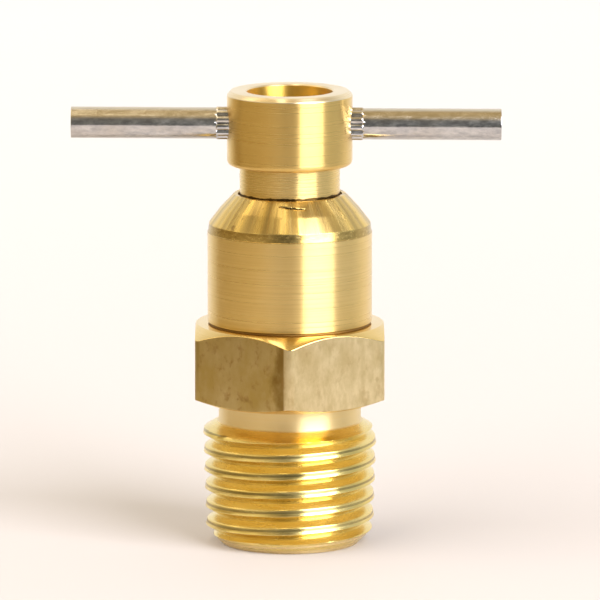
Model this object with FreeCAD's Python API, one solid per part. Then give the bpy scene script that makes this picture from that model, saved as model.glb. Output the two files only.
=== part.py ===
import FreeCAD
import Part
import math
import os

"""Miniature brass needle valve with a tapered inlet thread, a swaged barrel, a hollow stem and a T handle.

Frame: origin at the centre of the inlet end face, +Z up the stem towards the outlet, the handle along X.
All lengths are in millimetres. The valve is closed: the needle sits in its seat.
"""

INCH = 25.4
EDGE_RADIUS = 0.08  # of a lightly broken edge
CUTTER_OVERRUN = 0.08  # how far a thread cutter reaches past the surface it cuts
OVER = 1  # how far a drill or an inner profile reaches past an end

# Tapered male inlet thread, 1/4-18 NPT
NPT_PITCH = INCH / 18
NPT_PITCH_RADIUS = 12.214 / 2  # at the small end, one turn over the basic size
NPT_SLOPE = 1 / 32  # radius gained per length along the axis
NPT_CREST_FLAT = 0.46
NPT_ROOT_FLAT = 0.06
NPT_CREST_HEIGHT = 7.57  # of one crest, on the -Y side
END_CHAMFER_RADIUS = 5.2
RELIEF_RADIUS = 5.4
RELIEF_BOTTOM = 9.45
RELIEF_SHOULDER_ANGLE = 30
NPT_RUNOUT = 0.65  # how far the groove runs on into the relief

# Hexagon
HEX_ACROSS_FLATS = 9 / 16 * INCH
HEX_CORNER_RADIUS = 0.8
HEX_BOTTOM = 11.03
HEX_TOP = 16.9
HEX_BOTTOM_FACE_RADIUS = 6.75  # where the bottom corner chamfers start
HEX_TOP_FACE_RADIUS = 7.05
HEX_BOTTOM_CHAMFER = 22
HEX_TOP_CHAMFER = 35

# Barrel and its swaged lip
BARREL_RADIUS = 6.23
BARREL_TOP = 23.9
BASE_GROOVE_DEPTH = 0.13
BASE_GROOVE_HEIGHT = 0.16
BAND_RADIUS = 6.17
BAND_STEP_HEIGHT = 0.06
BAND_TOP = 24.58
BAND_TOP_ROUNDING = 0.15
LIP_TOP = 26.8
LIP_OUTER_RADIUS = 4.22
LIP_ROUNDING = 0.1
LIP_INNER_RADIUS = 3.93
LIP_WALL_BOTTOM = 25.14
LIP_POCKET_TOP = 24.21

# Passages in the body, from the inlet up
INLET_RADIUS = 3.25
INLET_DEPTH = 5.0
ORIFICE_RADIUS = 1.6
DRILL_HALF_ANGLE = 59
SEAT_POCKET_RADIUS = 2.7
SEAT_POCKET_BOTTOM = 6.6
SEAT_HEIGHT = 2.0
CYLINDER_RADIUS = 3.3
CYLINDER_TOP = 16.8
THREAD_RELIEF_TOP = 17.95
THREAD_RELIEF_RADIUS = 4.9
BODY_THREAD_TOP = 22.6
BODY_THREAD_LEAD = 0.5  # height of the thread's countersink at each end
LIP_POCKET_RADIUS = 4.9

# Stem thread, 3/8-24 UNF
STEM_PITCH = INCH / 24
STEM_CREST_RADIUS = 4.72
STEM_ROOT_RADIUS = 4.05
STEM_CREST_FLAT = 0.13
BODY_CREST_RADIUS = 4.2
BODY_ROOT_RADIUS = 4.82
BODY_ROOT_FLAT = 0.13
STEM_RIDGE_HEIGHT = 17.6  # of one ridge, on the +X side

# Stem
STEM_BOTTOM = 9.5
NOSE_RADIUS = 2.4
NOSE_TOP = 11.9
NOSE_ROUNDING = 0.1
SHANK_RADIUS = 3.22
SHANK_CHAMFER = 0.15
GROOVE_BOTTOM = 12.3
GROOVE_TOP = 14.6
GROOVE_RADIUS = 2.4
SHANK_TOP = 16.9
STEM_THREAD_BOTTOM = 17.1
STEM_THREAD_TOP = 21.9
STEM_THREAD_TOP_CHAMFER = 0.25
STEM_THREAD_RUNOUT = 0.3
NECK_RADIUS = 3.79
NECK_FOOT_ROUNDING = 0.15
NECK_TOP_ROUNDING = 0.06
HEAD_BOTTOM = 28.98
HEAD_RADIUS = 4.74
HEAD_TOP = 34.62
HEAD_SHOULDER_RADIUS = 0.68
HEAD_TOP_CHAMFER = 0.3
HEAD_CHAMFER_ROUNDING = 0.12
PASSAGE_RADIUS = 1.5
CUP_RADIUS = 3.24
CUP_BOTTOM = 29.95
CUP_MOUTH_CHAMFER = 0.12
PORT_RADIUS = 0.7
PORT_HEIGHT = 11.1

# Needle tip, pressed into the bottom of the stem's passage
NEEDLE_HALF_ANGLE = 30
NEEDLE_SEAT_HEIGHT = 8.3  # where the cone is as wide as the seat's hole
NEEDLE_COLLAR_RADIUS = 2.1
NEEDLE_COLLAR_ROUNDING = 0.05
NEEDLE_TIP_RADIUS = 0.5
NEEDLE_TIP_ROUNDING = 0.15
NEEDLE_SHANK_TOP = 10.3
NEEDLE_SHANK_CHAMFER = 0.2
SEAT_HOLE_RADIUS = 1.5
PRESS_INTERFERENCE = 0.005
SEAT_GAP = 0.02

# Seals
SEAL_CLEARANCE = 0.02
O_RING_HEIGHT = 1.05
O_RING_ROUNDING = 0.4
BACKUP_ROUNDING = 0.05
WIPER_BOTTOM = 24.06
WIPER_TOP = 24.8
WIPER_NECK_CLEARANCE = 0.04
WIPER_POCKET_CLEARANCE = 0.03
WIPER_ROUNDING = 0.06

# Handle pin
PIN_RADIUS = 3 / 32 * INCH / 2
PIN_LENGTH = 32.47
PIN_OFFSET = -0.27  # its centre along X
PIN_HEIGHT = 32.1
PIN_TILT = 0.33  # degrees, its +X end down
PIN_END_CHAMFER = 0.08
KNURL_LENGTH = 11.1
KNURL_RIDGES = 12
KNURL_PHASE = 7  # degrees
KNURL_CREST_RADIUS = 1.275
KNURL_ROOT_RADIUS = 1.12
KNURL_CREST_SHARE = 0.3  # of a ridge's angle
KNURL_END_CHAMFER = 0.2
PIN_HOLE_RADIUS = 1.25

X_AXIS = FreeCAD.Vector(1, 0, 0)
Y_AXIS = FreeCAD.Vector(0, 1, 0)
Z_AXIS = FreeCAD.Vector(0, 0, 1)
ORIGIN = FreeCAD.Vector(0, 0, 0)


def tangent(degrees):
    """Tangent of an angle in degrees."""
    return math.tan(math.radians(degrees))


def in_plane(radius, height):
    """A point of a turned profile, in the XZ plane."""
    return FreeCAD.Vector(radius, 0, height)


def outline(corners):
    """A closed wire through (radius, height, corner radius) points, each corner rounded by a tangent arc."""
    edges, starts, ends = [], [], []
    count = len(corners)
    points = [in_plane(r, z) for r, z, _ in corners]
    for i, (_, _, round_radius) in enumerate(corners):
        here = points[i]
        back = points[i - 1] - here
        ahead = points[(i + 1) % count] - here
        half_turn = back.getAngle(ahead) / 2
        reach = round_radius / math.tan(half_turn)
        back.normalize()
        ahead.normalize()
        starts.append(here + back * reach)
        ends.append(here + ahead * reach)
        if round_radius > 0:
            bisector = back + ahead
            bisector.normalize()
            centre = here + bisector * (round_radius / math.sin(half_turn))
            middle = centre - bisector * round_radius
            edges.append(Part.Arc(starts[i], middle, ends[i]).toShape())
        else:
            edges.append(None)
    ordered = []
    for i in range(count):
        if edges[i] is not None:
            ordered.append(edges[i])
        ordered.append(Part.LineSegment(ends[i], starts[(i + 1) % count]).toShape())
    return Part.Wire(ordered)


def turned(corners):
    """The solid of revolution about Z of a profile given as (radius, height[, corner radius]) points."""
    full = [(*corner, 0)[:3] for corner in corners]
    return Part.Face(outline(full)).revolve(ORIGIN, Z_AXIS, 360)


def thread_groove(start, turns, pitch, root_radius, root_flat, depth, slope=0.0):
    """The helical cutter of a 60 degree groove, opening outwards if the depth is positive, inwards if not."""
    half_root = root_flat / 2
    half_mouth = half_root + abs(depth) * tangent(30)
    mouth_radius = root_radius + depth
    profile = Part.makePolygon(
        [
            in_plane(root_radius, start - half_root),
            in_plane(mouth_radius, start - half_mouth),
            in_plane(mouth_radius, start + half_mouth),
            in_plane(root_radius, start + half_root),
            in_plane(root_radius, start - half_root),
        ]
    )
    cone_angle = math.degrees(math.atan(slope))
    path = Part.makeLongHelix(pitch, pitch * turns, root_radius, cone_angle)
    path.translate(FreeCAD.Vector(0, 0, start))
    return Part.Wire(path.Edges).makePipeShell([profile], True, True)


def npt_radius(height, from_pitch_line):
    """Radius of the tapered thread's cone at a height, moved out from its pitch line."""
    return NPT_PITCH_RADIUS + height * NPT_SLOPE + from_pitch_line


def npt_rise(flat):
    """How far a flat of that width lies from the tapered thread's pitch line."""
    return (NPT_PITCH / 2 - flat) / 2 / tangent(30)


def hexagon_blank():
    """The hexagon with rounded corners and turned chamfers; two flats face along X."""
    corner = HEX_ACROSS_FLATS / math.sqrt(3)
    angles = [math.radians(30 + 60 * k) for k in range(7)]
    ring = [
        FreeCAD.Vector(corner * math.cos(a), corner * math.sin(a), HEX_BOTTOM)
        for a in angles
    ]
    height = HEX_TOP - HEX_BOTTOM
    prism = Part.Face(Part.makePolygon(ring)).extrude(Z_AXIS * height)
    upright = [
        e for e in prism.Edges if abs(e.Vertexes[0].Z - e.Vertexes[1].Z) > height / 2
    ]
    prism = prism.makeFillet(HEX_CORNER_RADIUS, upright)
    reach = corner + OVER
    bottom_drop = (reach - HEX_BOTTOM_FACE_RADIUS) * tangent(HEX_BOTTOM_CHAMFER)
    top_drop = (reach - HEX_TOP_FACE_RADIUS) * tangent(HEX_TOP_CHAMFER)
    chamfers = turned(
        [
            (0, HEX_BOTTOM),
            (HEX_BOTTOM_FACE_RADIUS, HEX_BOTTOM),
            (reach, HEX_BOTTOM + bottom_drop),
            (reach, HEX_TOP - top_drop),
            (HEX_TOP_FACE_RADIUS, HEX_TOP),
            (0, HEX_TOP),
        ]
    )
    return prism.common(chamfers)


def body_outside():
    """The turned outside of the body: tapered thread blank, relief, barrel and swaged lip."""
    crest_rise = npt_rise(NPT_CREST_FLAT)
    end_radius = npt_radius(0, crest_rise)
    # the end chamfer is at 45 degrees and meets the tapered blank
    chamfer_height = (end_radius - END_CHAMFER_RADIUS) / (1 - NPT_SLOPE)
    # the relief's lower shoulder slopes out and down to the blank
    slope = tangent(RELIEF_SHOULDER_ANGLE)
    gap = npt_radius(RELIEF_BOTTOM, crest_rise) - RELIEF_RADIUS
    shoulder_run = gap / (1 + NPT_SLOPE * slope)
    shoulder_height = RELIEF_BOTTOM - shoulder_run * slope
    # the relief and the barrel meet inside the hexagon
    inside_hexagon = (HEX_BOTTOM + HEX_TOP) / 2
    return turned(
        [
            (0, 0),
            (END_CHAMFER_RADIUS, 0, EDGE_RADIUS),
            (npt_radius(chamfer_height, crest_rise), chamfer_height),
            (npt_radius(shoulder_height, crest_rise), shoulder_height),
            (RELIEF_RADIUS, RELIEF_BOTTOM, EDGE_RADIUS),
            (RELIEF_RADIUS, inside_hexagon),
            (BARREL_RADIUS - BASE_GROOVE_DEPTH, inside_hexagon),
            (BARREL_RADIUS - BASE_GROOVE_DEPTH, HEX_TOP + BASE_GROOVE_HEIGHT / 2),
            (BARREL_RADIUS, HEX_TOP + BASE_GROOVE_HEIGHT),
            (BARREL_RADIUS, BARREL_TOP),
            (BAND_RADIUS, BARREL_TOP + BAND_STEP_HEIGHT),
            (BAND_RADIUS, BAND_TOP, BAND_TOP_ROUNDING),
            (LIP_OUTER_RADIUS, LIP_TOP, LIP_ROUNDING),
            (0, LIP_TOP),
        ]
    )


def body_inside():
    """The turned passages of the body, from the inlet to the lip's hole."""
    cone_height = (INLET_RADIUS - ORIFICE_RADIUS) / tangent(DRILL_HALF_ANGLE)
    seat_top = SEAT_POCKET_BOTTOM + SEAT_HEIGHT
    return turned(
        [
            (0, -OVER),
            (INLET_RADIUS, -OVER),
            (INLET_RADIUS, INLET_DEPTH),
            (ORIFICE_RADIUS, INLET_DEPTH + cone_height),
            (ORIFICE_RADIUS, SEAT_POCKET_BOTTOM),
            (SEAT_POCKET_RADIUS, SEAT_POCKET_BOTTOM),
            (SEAT_POCKET_RADIUS, seat_top),
            (CYLINDER_RADIUS, seat_top),
            (CYLINDER_RADIUS, CYLINDER_TOP),
            (THREAD_RELIEF_RADIUS, CYLINDER_TOP),
            (THREAD_RELIEF_RADIUS, THREAD_RELIEF_TOP),
            (BODY_CREST_RADIUS, THREAD_RELIEF_TOP + BODY_THREAD_LEAD),
            (BODY_CREST_RADIUS, BODY_THREAD_TOP - BODY_THREAD_LEAD),
            (LIP_POCKET_RADIUS, BODY_THREAD_TOP),
            (LIP_POCKET_RADIUS, LIP_POCKET_TOP),
            (LIP_INNER_RADIUS, LIP_WALL_BOTTOM),
            (LIP_INNER_RADIUS, LIP_TOP + OVER),
            (0, LIP_TOP + OVER),
        ]
    )


def inlet_thread_cutter():
    """The groove of the tapered thread, from below the end face into the relief."""
    root_rise = -npt_rise(NPT_ROOT_FLAT)
    depth = npt_rise(NPT_CREST_FLAT) - root_rise + CUTTER_OVERRUN
    quarter_turn = NPT_PITCH / 4
    groove = NPT_CREST_HEIGHT + quarter_turn - NPT_PITCH / 2
    below = math.floor(groove / NPT_PITCH) + 2
    start = groove - below * NPT_PITCH
    turns = (RELIEF_BOTTOM + NPT_RUNOUT - start) / NPT_PITCH
    root_radius = npt_radius(start, root_rise)
    return thread_groove(
        start, turns, NPT_PITCH, root_radius, NPT_ROOT_FLAT, depth, NPT_SLOPE
    )


def body_thread_cutter():
    """The groove of the body's inner thread, from the relief below it to the pocket above."""
    turns = (BODY_THREAD_TOP + BODY_THREAD_LEAD - STEM_RIDGE_HEIGHT) / STEM_PITCH
    depth = BODY_CREST_RADIUS - BODY_ROOT_RADIUS - CUTTER_OVERRUN
    return thread_groove(
        STEM_RIDGE_HEIGHT, turns, STEM_PITCH, BODY_ROOT_RADIUS, BODY_ROOT_FLAT, depth
    )


def valve_body():
    """The one-piece body, machined from hexagon bar, its barrel's rim swaged in over the stem."""
    blank = body_outside().fuse(hexagon_blank()).removeSplitter()
    blank = blank.cut(body_inside())
    return blank.cut(inlet_thread_cutter()).cut(body_thread_cutter())


def stem_blank():
    """The turned outside of the stem."""
    chamfer = STEM_CREST_RADIUS - STEM_ROOT_RADIUS
    top_chamfer = STEM_THREAD_TOP_CHAMFER
    return turned(
        [
            (0, STEM_BOTTOM),
            (NOSE_RADIUS, STEM_BOTTOM, NOSE_ROUNDING),
            (NOSE_RADIUS, NOSE_TOP),
            (SHANK_RADIUS - SHANK_CHAMFER, NOSE_TOP),
            (SHANK_RADIUS, NOSE_TOP + SHANK_CHAMFER),
            (SHANK_RADIUS, GROOVE_BOTTOM),
            (GROOVE_RADIUS, GROOVE_BOTTOM),
            (GROOVE_RADIUS, GROOVE_TOP),
            (SHANK_RADIUS, GROOVE_TOP),
            (SHANK_RADIUS, SHANK_TOP),
            (STEM_ROOT_RADIUS, STEM_THREAD_BOTTOM),
            (STEM_CREST_RADIUS, STEM_THREAD_BOTTOM + chamfer),
            (STEM_CREST_RADIUS, STEM_THREAD_TOP - top_chamfer),
            (STEM_CREST_RADIUS - top_chamfer, STEM_THREAD_TOP),
            (NECK_RADIUS, STEM_THREAD_TOP, NECK_FOOT_ROUNDING),
            (NECK_RADIUS, HEAD_BOTTOM, NECK_TOP_ROUNDING),
            (HEAD_RADIUS, HEAD_BOTTOM, HEAD_SHOULDER_RADIUS),
            (HEAD_RADIUS, HEAD_TOP - HEAD_TOP_CHAMFER, HEAD_CHAMFER_ROUNDING),
            (HEAD_RADIUS - HEAD_TOP_CHAMFER, HEAD_TOP, EDGE_RADIUS),
            (0, HEAD_TOP),
        ]
    )


def stem_passage():
    """The drain passage up the stem, opening into the cup in its head."""
    cone_height = (CUP_RADIUS - PASSAGE_RADIUS) / tangent(DRILL_HALF_ANGLE)
    return turned(
        [
            (0, STEM_BOTTOM - OVER),
            (PASSAGE_RADIUS, STEM_BOTTOM - OVER),
            (PASSAGE_RADIUS, CUP_BOTTOM - cone_height),
            (CUP_RADIUS, CUP_BOTTOM),
            (CUP_RADIUS, HEAD_TOP - CUP_MOUTH_CHAMFER),
            (CUP_RADIUS + CUP_MOUTH_CHAMFER + OVER, HEAD_TOP + OVER),
            (0, HEAD_TOP + OVER),
        ]
    )


def drilling(radius, height, axis):
    """A long drill through the stem's axis in the given direction."""
    reach = 3 * HEAD_RADIUS
    return Part.makeCylinder(
        radius, 2 * reach, axis * -reach + Z_AXIS * height, axis
    )


def stem():
    """The hollow screwed stem: nose with drain ports, seal groove, thread, neck and head."""
    start = STEM_RIDGE_HEIGHT - STEM_PITCH / 2 - STEM_PITCH
    turns = (STEM_THREAD_TOP + STEM_THREAD_RUNOUT - start) / STEM_PITCH
    depth = STEM_CREST_RADIUS - STEM_ROOT_RADIUS + CUTTER_OVERRUN
    mouth = STEM_PITCH - STEM_CREST_FLAT + 2 * CUTTER_OVERRUN * tangent(30)
    root_flat = mouth - 2 * depth * tangent(30)
    groove = thread_groove(
        start, turns, STEM_PITCH, STEM_ROOT_RADIUS, root_flat, depth
    )
    solid = stem_blank().cut(groove).cut(stem_passage())
    solid = solid.cut(drilling(PORT_RADIUS, PORT_HEIGHT, X_AXIS))
    solid = solid.cut(drilling(PORT_RADIUS, PORT_HEIGHT, Y_AXIS))
    tilt = math.radians(PIN_TILT)
    along_pin = X_AXIS * math.cos(tilt) - Z_AXIS * math.sin(tilt)
    return solid.cut(drilling(PIN_HOLE_RADIUS, PIN_HEIGHT, along_pin))


def needle_tip():
    """The hard needle that closes the seat; its shank is pressed into the stem."""
    slope = tangent(NEEDLE_HALF_ANGLE)
    wide = NEEDLE_SEAT_HEIGHT + (NEEDLE_COLLAR_RADIUS - SEAT_HOLE_RADIUS) / slope
    point = NEEDLE_SEAT_HEIGHT - (SEAT_HOLE_RADIUS - NEEDLE_TIP_RADIUS) / slope
    shank = PASSAGE_RADIUS + PRESS_INTERFERENCE
    return turned(
        [
            (0, point),
            (NEEDLE_TIP_RADIUS, point, NEEDLE_TIP_ROUNDING),
            (NEEDLE_COLLAR_RADIUS, wide, NEEDLE_COLLAR_ROUNDING),
            (NEEDLE_COLLAR_RADIUS, STEM_BOTTOM),
            (shank, STEM_BOTTOM),
            (shank, NEEDLE_SHANK_TOP - NEEDLE_SHANK_CHAMFER),
            (shank - NEEDLE_SHANK_CHAMFER, NEEDLE_SHANK_TOP),
            (0, NEEDLE_SHANK_TOP),
        ]
    )


def seat_insert():
    """The soft seat ring in its pocket, with a conical seat that faces the needle."""
    top = SEAT_POCKET_BOTTOM + SEAT_HEIGHT
    slope = tangent(NEEDLE_HALF_ANGLE)
    hole = SEAT_HOLE_RADIUS + SEAT_GAP
    mouth = hole + (top - NEEDLE_SEAT_HEIGHT) * slope
    return turned(
        [
            (hole, SEAT_POCKET_BOTTOM),
            (SEAT_POCKET_RADIUS, SEAT_POCKET_BOTTOM),
            (SEAT_POCKET_RADIUS, top),
            (mouth, top),
            (hole, NEEDLE_SEAT_HEIGHT),
        ]
    )


def seal_section():
    """Inner and outer radius of the rings in the stem's groove."""
    return GROOVE_RADIUS + SEAL_CLEARANCE, CYLINDER_RADIUS - SEAL_CLEARANCE


def stem_o_ring():
    """The O-ring in the stem's groove, squeezed between the groove and the cylinder."""
    inner, outer = seal_section()
    middle = (GROOVE_BOTTOM + GROOVE_TOP) / 2
    low, high = middle - O_RING_HEIGHT / 2, middle + O_RING_HEIGHT / 2
    return turned(
        [
            (inner, low, O_RING_ROUNDING),
            (outer, low, O_RING_ROUNDING),
            (outer, high, O_RING_ROUNDING),
            (inner, high, O_RING_ROUNDING),
        ]
    )


def backup_ring(above):
    """One of the two flat rings that keep the O-ring in its groove."""
    inner, outer = seal_section()
    height = (GROOVE_TOP - GROOVE_BOTTOM - O_RING_HEIGHT) / 2 - 2 * SEAL_CLEARANCE
    low = GROOVE_TOP - SEAL_CLEARANCE - height if above else GROOVE_BOTTOM + SEAL_CLEARANCE
    return turned(
        [
            (inner, low, BACKUP_ROUNDING),
            (outer, low, BACKUP_ROUNDING),
            (outer, low + height, BACKUP_ROUNDING),
            (inner, low + height, BACKUP_ROUNDING),
        ]
    )


def wiper_ring():
    """The rubber ring that the swaged lip traps round the stem's neck."""
    inner = NECK_RADIUS + WIPER_NECK_CLEARANCE
    lean = (LIP_POCKET_RADIUS - LIP_INNER_RADIUS) / (LIP_WALL_BOTTOM - LIP_POCKET_TOP)
    bottom_outer = LIP_POCKET_RADIUS - WIPER_POCKET_CLEARANCE
    top_outer = bottom_outer - (WIPER_TOP - LIP_POCKET_TOP) * lean
    return turned(
        [
            (inner, WIPER_BOTTOM, WIPER_ROUNDING),
            (bottom_outer, WIPER_BOTTOM, WIPER_ROUNDING),
            (bottom_outer, LIP_POCKET_TOP),
            (top_outer, WIPER_TOP, WIPER_ROUNDING),
            (inner, WIPER_TOP, WIPER_ROUNDING),
        ]
    )


def along_x(solid, centre_x):
    """A solid made upright about Z, laid along X."""
    solid.rotate(ORIGIN, Y_AXIS, 90)
    solid.translate(X_AXIS * centre_x)
    return solid


def knurl():
    """The straight knurl in the middle of the pin, its ridges chamfered at both ends."""
    points = []
    step = 2 * math.pi / KNURL_RIDGES
    for ridge in range(KNURL_RIDGES):
        for share, radius in (
            (-0.5, KNURL_ROOT_RADIUS),
            (-KNURL_CREST_SHARE / 2, KNURL_CREST_RADIUS),
            (KNURL_CREST_SHARE / 2, KNURL_CREST_RADIUS),
        ):
            angle = step * (ridge + share) + math.radians(KNURL_PHASE)
            points.append(
                FreeCAD.Vector(radius * math.cos(angle), radius * math.sin(angle), 0)
            )
    section = Part.Face(Part.makePolygon([*points, points[0]]))
    section.translate(Z_AXIS * (-KNURL_LENGTH / 2))
    star = section.extrude(Z_AXIS * KNURL_LENGTH)
    half = KNURL_LENGTH / 2
    end_radius = KNURL_CREST_RADIUS - KNURL_END_CHAMFER
    return star.common(
        turned(
            [
                (0, -half),
                (end_radius, -half),
                (KNURL_CREST_RADIUS, KNURL_END_CHAMFER - half),
                (KNURL_CREST_RADIUS, half - KNURL_END_CHAMFER),
                (end_radius, half),
                (0, half),
            ]
        )
    )


def handle_pin():
    """The steel T handle: a plain pin, knurled where it is pressed through the head."""
    half = PIN_LENGTH / 2
    half_knurl = KNURL_LENGTH / 2 - KNURL_END_CHAMFER
    solid = along_x(knurl(), 0)
    for side in (-1, 1):
        end = PIN_OFFSET + side * half
        length = abs(end) - half_knurl
        rod = turned(
            [
                (0, -length / 2),
                (PIN_RADIUS, -length / 2, 0 if side > 0 else PIN_END_CHAMFER),
                (PIN_RADIUS, length / 2, PIN_END_CHAMFER if side > 0 else 0),
                (0, length / 2),
            ]
        )
        solid = solid.fuse(along_x(rod, side * (half_knurl + length / 2)))
    solid = solid.removeSplitter()
    solid.rotate(ORIGIN, Y_AXIS, PIN_TILT)
    solid.translate(Z_AXIS * PIN_HEIGHT)
    return solid


def main():
    os.makedirs("parts", exist_ok=True)
    nodes = {
        "valve_body": valve_body(),
        "seat_insert": seat_insert(),
        "stem": stem(),
        "needle_tip": needle_tip(),
        "handle_pin": handle_pin(),
        "stem_o_ring": stem_o_ring(),
        "backup_ring_lower": backup_ring(above=False),
        "backup_ring_upper": backup_ring(above=True),
        "wiper_ring": wiper_ring(),
    }
    for name, shape in nodes.items():
        solids = shape.Solids
        shape.exportStep(f"parts/{name}.step")
        print(name, len(solids), shape.isValid(), round(shape.Volume, 2))


main()
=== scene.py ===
import math

import bmesh
import bpy
import numpy as np
from mathutils import Matrix, Vector


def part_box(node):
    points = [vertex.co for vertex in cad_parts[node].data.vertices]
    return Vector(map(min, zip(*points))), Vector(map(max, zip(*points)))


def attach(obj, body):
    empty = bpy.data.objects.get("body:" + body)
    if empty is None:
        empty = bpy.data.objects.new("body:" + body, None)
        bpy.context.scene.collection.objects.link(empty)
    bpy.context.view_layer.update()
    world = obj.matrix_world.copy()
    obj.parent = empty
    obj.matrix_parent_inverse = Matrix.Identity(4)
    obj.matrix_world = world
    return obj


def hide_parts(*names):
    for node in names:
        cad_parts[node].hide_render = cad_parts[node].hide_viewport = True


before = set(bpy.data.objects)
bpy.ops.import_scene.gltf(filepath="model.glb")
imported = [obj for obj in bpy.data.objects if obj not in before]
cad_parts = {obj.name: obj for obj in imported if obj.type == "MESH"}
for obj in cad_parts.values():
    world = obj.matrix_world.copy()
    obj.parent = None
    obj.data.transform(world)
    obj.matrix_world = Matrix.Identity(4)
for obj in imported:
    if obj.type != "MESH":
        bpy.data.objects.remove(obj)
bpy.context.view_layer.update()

MM = 0.001
TAU = 2 * math.pi

# Camera, floor, room and soft box: places in metres, the sensor and the lens in millimetres
CAMERA_DISTANCE, CAMERA_ELEVATION = 0.55, math.radians(9.9)
CAMERA_AIM = Vector((0.000773, 0, 0.01857))
CAMERA_SENSOR, CAMERA_LENS = 36, 435.6
FLOOR_LEFT, FLOOR_RIGHT, FLOOR_FRONT, FLOOR_BACK = -0.055, 0.08, -0.13, 3.0
# the floor's colour near the object and far off, and the fade between them: painted shade and light
FLOOR_NEAR, FLOOR_FAR, FLOOR_FADE = (0.5, 0.457, 0.427), (0.67, 0.67, 0.665), 0.3
ROOM_SEEN = (1.0, 0.97, 0.93)
ROOM_FRONT = (0.2, 0.195, 0.18)
ROOM_LEFT_LOW, ROOM_LEFT_HIGH = (0.42, 0.31, 0.14), (1.08, 0.98, 0.78)
ROOM_RIGHT = (0.58, 0.62, 0.66)
ROOM_ABOVE = (0.6, 0.47, 0.26)
ROOM_BEHIND = (1.06, 1.05, 1.03)
SOFTBOX_AZIMUTH, SOFTBOX_DISTANCE = math.radians(42), 0.6
SOFTBOX_BOTTOM, SOFTBOX_WIDTH, SOFTBOX_HEIGHT = 0.08, 0.51, 1.0

# Meshes: the distance that welds two points is in metres
WELD_DISTANCE = 2e-8
SHARP_EDGE = math.radians(40)
NORMAL_WEIGHT = 60
ROUNDING_SHARE = 0.48
ARC_COLUMNS, FLAT_COLUMNS, STEM_COLUMNS = 9, 24, 180

# All lengths from here on are in millimetres.

# Hexagon
HEX_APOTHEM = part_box("valve_body")[1].x / MM
HEX_CORNER_RADIUS = 0.803
HEX_BOTTOM, HEX_TOP = 11.03, 16.9
HEX_BOTTOM_FACE_RADIUS, HEX_TOP_FACE_RADIUS = 6.75, 7.05
HEX_BOTTOM_SLOPE = math.tan(math.radians(22))
HEX_TOP_SLOPE = math.tan(math.radians(35))
HEX_STRAIGHT = (HEX_APOTHEM - HEX_CORNER_RADIUS) * math.tan(math.radians(30))
HEX_ARC_HALF_DEGREES = 30 - math.degrees(math.atan(HEX_STRAIGHT / HEX_APOTHEM))

# Tapered inlet thread
FLANK = math.tan(math.radians(30))
NPT_PITCH = 25.4 / 18
NPT_PITCH_RADIUS = 12.214 / 2
NPT_SLOPE = 1 / 32
NPT_CREST_FLAT = 0.46
NPT_ROOT_FLAT = 0.06
NPT_CREST_HEIGHT = 7.57
NPT_LAND_SLOPE = 0.17
NPT_BOTTOM, NPT_TOP = 0.28, 9.38
DARK_CREST_BOTTOM, DARK_CREST_TOP, DARK_CREST_MARGIN = 0.95, 8.85, 0.07
UPPER_EDGE_ROUNDING, LOWER_EDGE_ROUNDING, ROOT_ROUNDING = 0.1, 0.04, 0.12
CHAMFER_ROUNDING, SHOULDER_ROUNDING = 0.06, 0.05
BURR_HEIGHT, BURR_WIDTH, BURR_INSET = 0.02, 0.035, 0.03
END_RADIUS = 5.2
RELIEF_RADIUS, RELIEF_BOTTOM = 5.4, 9.45

# Stem thread and the body's inner thread
STEM_PITCH = 25.4 / 24
RIDGE_HEIGHT = 17.6
THREAD_FLAT = 0.13
STEM_CREST, STEM_ROOT = 4.72, 4.05
STEM_THREAD_BOTTOM, STEM_THREAD_TOP = 17.12, 21.9
STEM_LEAD_DEPTH, STEM_LEAD_BOTTOM = 0.72, 17.1
STEM_LEAD_SLOPE, STEM_LEAD_TOP = 2.9, 21.65
BODY_CREST, BODY_ROOT = 4.2, 4.82
BODY_THREAD_BOTTOM, BODY_THREAD_TOP = 18.0, 22.55
BODY_LEAD_SLOPE, BODY_LEAD_BOTTOM, BODY_LEAD_TOP = 1.4, 18.45, 22.1

# Barrel, band and lip
BARREL_RADIUS, BARREL_TOP = 6.23, 23.9
BASE_GROOVE_DEPTH = 0.13
BAND_RADIUS, BAND_TOP_RADIUS, BAND_TOP = 6.18, 6.1, 24.58
CONE_MIDDLE_RADIUS, CONE_MIDDLE = 5.22, 25.72
LIP_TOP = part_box("valve_body")[1].z / MM
LIP_OUTER_RADIUS, LIP_INNER_RADIUS = 4.22, 3.93
LIP_BOTTOM = 25.14

# Passages in the body
INLET_RADIUS, INLET_DEPTH = 3.25, 5.0
ORIFICE_RADIUS, ORIFICE_BOTTOM = 1.6, 5.99
SEAT_RADIUS, SEAT_BOTTOM, SEAT_TOP = 2.7, 6.6, 8.6
CYLINDER_RADIUS, CYLINDER_TOP = 3.3, 16.8
CAVITY_RADIUS, CAVITY_TOP = 4.9, 24.21
THREAD_FOOT, THREAD_HEAD = 17.9, 22.6

# Stem below its thread
NOSE_RADIUS, NOSE_BOTTOM = 2.4, 9.5
SHANK_RADIUS, SHANK_BOTTOM, SHANK_TOP, SHANK_CHAMFER = 3.22, 11.9, 16.9, 0.15
SEAL_GROOVE_RADIUS, SEAL_GROOVE_BOTTOM, SEAL_GROOVE_TOP = 2.4, 12.3, 14.6
THREAD_FOOT_RADIUS = 4.0
PORT_RADIUS, PORT_HEIGHT, PORT_HALF_LENGTH = 0.7, 11.1, 6

# Stem head
HEAD_RADIUS = 4.74
HEAD_BOTTOM, HEAD_SHOULDER_RADIUS = 28.98, 0.68
HEAD_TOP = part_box("stem")[1].z / MM
NECK_RADIUS = 3.79
HEAD_CHAMFER = 0.3
CUP_RADIUS, CUP_BOTTOM, CUP_MOUTH = 3.24, 29.95, 0.12
PASSAGE_RADIUS = 1.5
DRILL_HALF_ANGLE = math.radians(59)

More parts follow.
